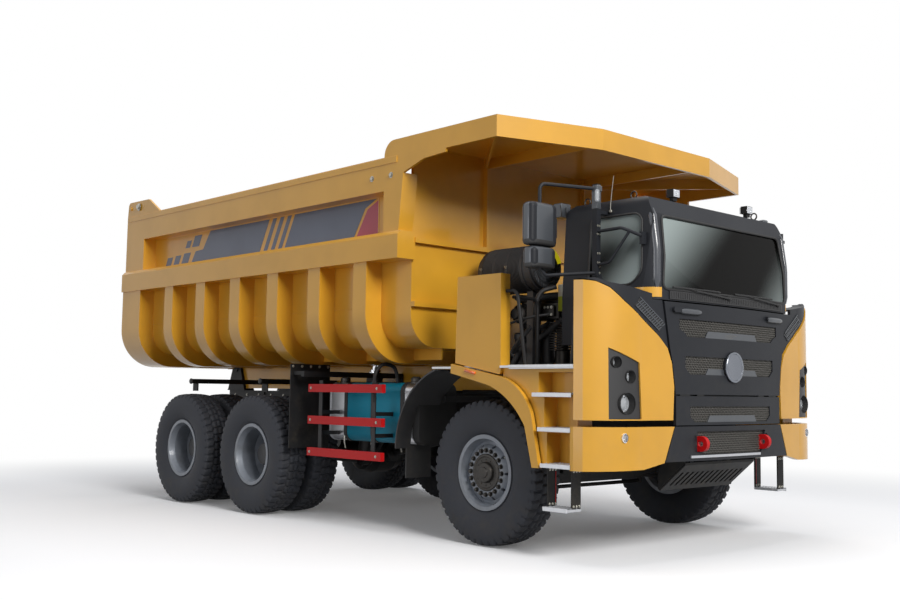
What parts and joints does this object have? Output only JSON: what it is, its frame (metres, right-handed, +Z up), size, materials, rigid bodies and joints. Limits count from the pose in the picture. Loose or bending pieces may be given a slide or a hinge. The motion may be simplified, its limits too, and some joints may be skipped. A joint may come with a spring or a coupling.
{
  "type": "mining dump truck",
  "caption": "Wide-body mining dump truck with a centre cab, a ribbed U-shaped tipping bed under a cab canopy, twin rear wheels, steps and a lifting front lid.",
  "frame": {"origin": "on the ground below the middle of the truck's overall box", "axes": "+X forward, +Y to the truck's left, +Z up"},
  "size_m": [8.5999, 4, 3.932],
  "materials": {
    "body_yellow": "gloss",
    "cab_grey": "satin",
    "glass": "clear",
    "chassis_black": "satin",
    "black_plastic": "matte",
    "lens": "clear",
    "rod_chrome": "polished",
    "red_paint": "gloss",
    "tread_steel": "satin",
    "tank_aluminium": "satin",
    "tank_grey": "satin",
    "seat_cloth": "woven",
    "coolant_plastic": "translucent",
    "tyre": "matte",
    "rim_grey": "satin"
  },
  "bodies": {
    "chassis": {"air_cleaner": "black_plastic", "axles": "chassis_black", "bumper_centre": "cab_grey", "bumper_corners": "body_yellow", "cab_glass": "glass", "cab_shell": "cab_grey", "coolant_bottle": "coolant_plastic", "dash": "black_plastic", "engine": "chassis_black", "fairing_caps": "cab_grey", "fairings": "body_yellow", "fenders": "body_yellow", "frame": "chassis_black", "front_grilles": "black_plastic", "fuel_tank": "tank_aluminium", "handrails": "chassis_black", "hydraulic_tank": "tank_grey", "lamp_lenses": "lens", "lamp_panels": "black_plastic", "leaf_springs": "chassis_black", "mirror_right": "cab_grey", "mudguards": "black_plastic", "nose_panel": "cab_grey", "platforms": "tread_steel", "prop_shafts": "chassis_black", "rear_guards": "chassis_black", "seat": "seat_cloth", "side_ladder": "red_paint", "side_shields": "body_yellow", "sump_guard": "chassis_black", "tow_eyes": "red_paint", "work_lamps": "chassis_black"},
    "bed": {"bed_body": "body_yellow", "canopy": "body_yellow"},
    "tailgate": {"tailgate": "body_yellow"},
    "hoist_barrels": {"hoist_barrels": "chassis_black"},
    "hoist_stage_1": {"hoist_stage_1": "rod_chrome"},
    "hoist_stage_2": {"hoist_stage_2": "rod_chrome"},
    "hoist_stage_3": {"hoist_stage_3": "rod_chrome"},
    "knuckle_left": {"knuckle_left": "chassis_black"},
    "knuckle_right": {"knuckle_right": "chassis_black"},
    "tie_rod": {"tie_rod": "chassis_black"},
    "wheel_front_left": {"tyre_front_left": "tyre", "rim_front_left": "rim_grey"},
    "wheel_front_right": {"tyre_front_right": "tyre", "rim_front_right": "rim_grey"},
    "wheels_mid_left": {"tyres_mid_left": "tyre", "rims_mid_left": "rim_grey"},
    "wheels_mid_right": {"tyres_mid_right": "tyre", "rims_mid_right": "rim_grey"},
    "wheels_rear_left": {"tyres_rear_left": "tyre", "rims_rear_left": "rim_grey"},
    "wheels_rear_right": {"tyres_rear_right": "tyre", "rims_rear_right": "rim_grey"},
    "door_left": {"door_left": "cab_grey", "door_glass_left": "glass", "mirror_left": "cab_grey"},
    "front_lid": {"front_lid": "cab_grey", "lid_grilles": "black_plastic"}
  },
  "joints": [
    {"name": "bed_tilt", "type": "hinge", "parent": "chassis", "child": "bed", "pos_m": [-3.54, 0, 1.7], "axis": [0, -1, 0], "range_deg": [0, 45]},
    {"name": "tailgate_swing", "type": "hinge", "parent": "bed", "child": "tailgate", "pos_m": [-3.975, 0, 3.845], "axis": [0, 1, 0], "range_deg": [0, 60]},
    {"name": "hoist_swing", "type": "hinge", "parent": "chassis", "child": "hoist_barrels", "pos_m": [-0.31173, 0, 0.6], "axis": [0, -1, 0], "range_deg": [0, 23]},
    {"name": "hoist_extend_1", "type": "slide", "parent": "hoist_barrels", "child": "hoist_stage_1", "axis": [0.1548, 0, 0.9879], "range_m": [0, 0.8333]},
    {"name": "hoist_extend_2", "type": "slide", "parent": "hoist_stage_1", "child": "hoist_stage_2", "axis": [0.1548, 0, 0.9879], "range_m": [0, 0.8333]},
    {"name": "hoist_extend_3", "type": "slide", "parent": "hoist_stage_2", "child": "hoist_stage_3", "axis": [0.1548, 0, 0.9879], "range_m": [0, 0.8333]},
    {"name": "steer_left", "type": "hinge", "parent": "chassis", "child": "knuckle_left", "pos_m": [2.56, 1.205, 0.655], "axis": [0, 0, 1], "range_deg": [-32, 32]},
    {"name": "steer_right", "type": "hinge", "parent": "chassis", "child": "knuckle_right", "pos_m": [2.56, -1.205, 0.655], "axis": [0, 0, 1], "range_deg": [-32, 32]},
    {"name": "tie_rod_shift", "type": "slide", "parent": "chassis", "child": "tie_rod", "axis": [0, 1, 0], "range_m": [-0.145, 0.145]},
    {"name": "roll_front_left", "type": "hinge", "parent": "knuckle_left", "child": "wheel_front_left", "pos_m": [2.56, 1.412, 0.675], "axis": [0, 1, 0], "continuous": true},
    {"name": "roll_front_right", "type": "hinge", "parent": "knuckle_right", "child": "wheel_front_right", "pos_m": [2.56, -1.412, 0.675], "axis": [0, 1, 0], "continuous": true},
    {"name": "roll_mid_left", "type": "hinge", "parent": "chassis", "child": "wheels_mid_left", "pos_m": [-0.97, 1.472, 0.675], "axis": [0, 1, 0], "continuous": true},
    {"name": "roll_mid_right", "type": "hinge", "parent": "chassis", "child": "wheels_mid_right", "pos_m": [-0.97, -1.472, 0.675], "axis": [0, 1, 0], "continuous": true},
    {"name": "roll_rear_left", "type": "hinge", "parent": "chassis", "child": "wheels_rear_left", "pos_m": [-2.57, 1.472, 0.675], "axis": [0, 1, 0], "continuous": true},
    {"name": "roll_rear_right", "type": "hinge", "parent": "chassis", "child": "wheels_rear_right", "pos_m": [-2.57, -1.472, 0.675], "axis": [0, 1, 0], "continuous": true},
    {"name": "door_left_swing", "type": "hinge", "parent": "chassis", "child": "door_left", "pos_m": [4.088, 1.137, 2.45], "axis": [0, 0, -1], "range_deg": [0, 50]},
    {"name": "front_lid_lift", "type": "hinge", "parent": "chassis", "child": "front_lid", "pos_m": [4.242, 0, 2.228], "axis": [0, -1, 0], "range_deg": [0, 70]}
  ],
  "couplings": [
    {"joint": "hoist_swing", "follows": "bed_tilt", "ratio": 0.5},
    {"joint": "hoist_extend_1", "follows": "bed_tilt", "m_per_rad": 1.0534},
    {"joint": "hoist_extend_2", "follows": "bed_tilt", "m_per_rad": 1.0534},
    {"joint": "hoist_extend_3", "follows": "bed_tilt", "m_per_rad": 1.0534},
    {"joint": "steer_right", "follows": "steer_left", "ratio": 1},
    {"joint": "tie_rod_shift", "follows": "steer_left", "m_per_rad": -0.25}
  ]
}
